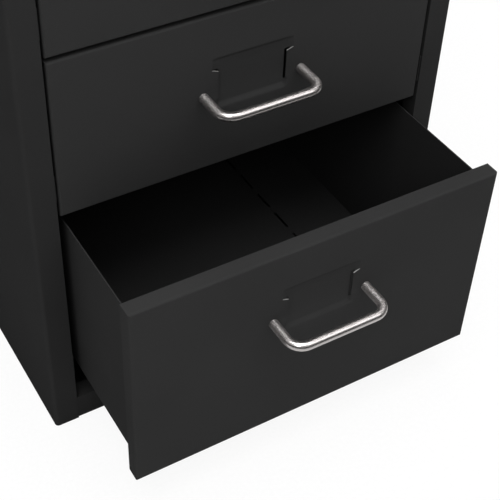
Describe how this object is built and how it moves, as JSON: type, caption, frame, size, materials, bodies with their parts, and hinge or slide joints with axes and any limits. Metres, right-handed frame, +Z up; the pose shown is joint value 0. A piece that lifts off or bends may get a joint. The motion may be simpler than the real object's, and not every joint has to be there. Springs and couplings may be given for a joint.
{
  "type": "metal drawer cabinet",
  "caption": "Small free-standing cabinet of folded, powder-coated sheet steel, with shallow drawers over one deep drawer, bright bow handles and pressed label pockets.",
  "frame": {"origin": "on the floor at the centre of the object's box at rest, with the lowest drawer open as in the picture", "axes": "+Z up, -Y the drawer fronts, +X to the right of a person facing the drawers"},
  "size_m": [0.28, 0.5232, 0.6145],
  "materials": {
    "case_paint": "matt anthracite powder coat on sheet steel",
    "drawer_front_paint": "matt anthracite powder coat on sheet steel",
    "drawer_tray_paint": "matt anthracite powder coat on sheet steel",
    "bright_rod": "polished nickel plate on steel rod",
    "zinc_fasteners": "bright zinc plate",
    "nylon": "moulded black nylon"
  },
  "bodies": {
    "case": {"side_panel_left": "case_paint", "side_panel_right": "case_paint", "top_panel": "case_paint", "bottom_panel": "case_paint", "back_panel": "case_paint", "base_rail_front": "case_paint", "base_rail_back": "case_paint", "top_screws": "zinc_fasteners", "bottom_screws": "zinc_fasteners", "back_screws": "zinc_fasteners", "runner_rivets": "zinc_fasteners", "runner_left_1": "case_paint", "runner_left_2": "case_paint", "runner_left_3": "case_paint", "runner_left_4": "case_paint", "runner_left_5": "case_paint", "runner_right_1": "case_paint", "runner_right_2": "case_paint", "runner_right_3": "case_paint", "runner_right_4": "case_paint", "runner_right_5": "case_paint"},
    "drawer_1": {"drawer_front_1": "drawer_front_paint", "drawer_tray_1": "drawer_tray_paint", "drawer_glides_1": "nylon", "handle_1": "bright_rod", "handle_screws_1": "zinc_fasteners"},
    "drawer_2": {"drawer_front_2": "drawer_front_paint", "drawer_tray_2": "drawer_tray_paint", "drawer_glides_2": "nylon", "handle_2": "bright_rod", "handle_screws_2": "zinc_fasteners"},
    "drawer_3": {"drawer_front_3": "drawer_front_paint", "drawer_tray_3": "drawer_tray_paint", "drawer_glides_3": "nylon", "handle_3": "bright_rod", "handle_screws_3": "zinc_fasteners"},
    "drawer_4": {"drawer_front_4": "drawer_front_paint", "drawer_tray_4": "drawer_tray_paint", "drawer_glides_4": "nylon", "handle_4": "bright_rod", "handle_screws_4": "zinc_fasteners"},
    "drawer_5": {"drawer_front_5": "drawer_front_paint", "drawer_tray_5": "drawer_tray_paint", "drawer_glides_5": "nylon", "handle_5": "bright_rod", "handle_screws_5": "zinc_fasteners"}
  },
  "joints": [
    {"name": "drawer_1_slide", "type": "slide", "parent": "case", "child": "drawer_1", "axis": [0, -1, 0], "range_m": [0, 0.3]},
    {"name": "drawer_2_slide", "type": "slide", "parent": "case", "child": "drawer_2", "axis": [0, -1, 0], "range_m": [0, 0.3]},
    {"name": "drawer_3_slide", "type": "slide", "parent": "case", "child": "drawer_3", "axis": [0, -1, 0], "range_m": [0, 0.3]},
    {"name": "drawer_4_slide", "type": "slide", "parent": "case", "child": "drawer_4", "axis": [0, -1, 0], "range_m": [0, 0.3]},
    {"name": "drawer_5_slide", "type": "slide", "parent": "case", "child": "drawer_5", "axis": [0, -1, 0], "range_m": [-0.084, 0.216]}
  ]
}
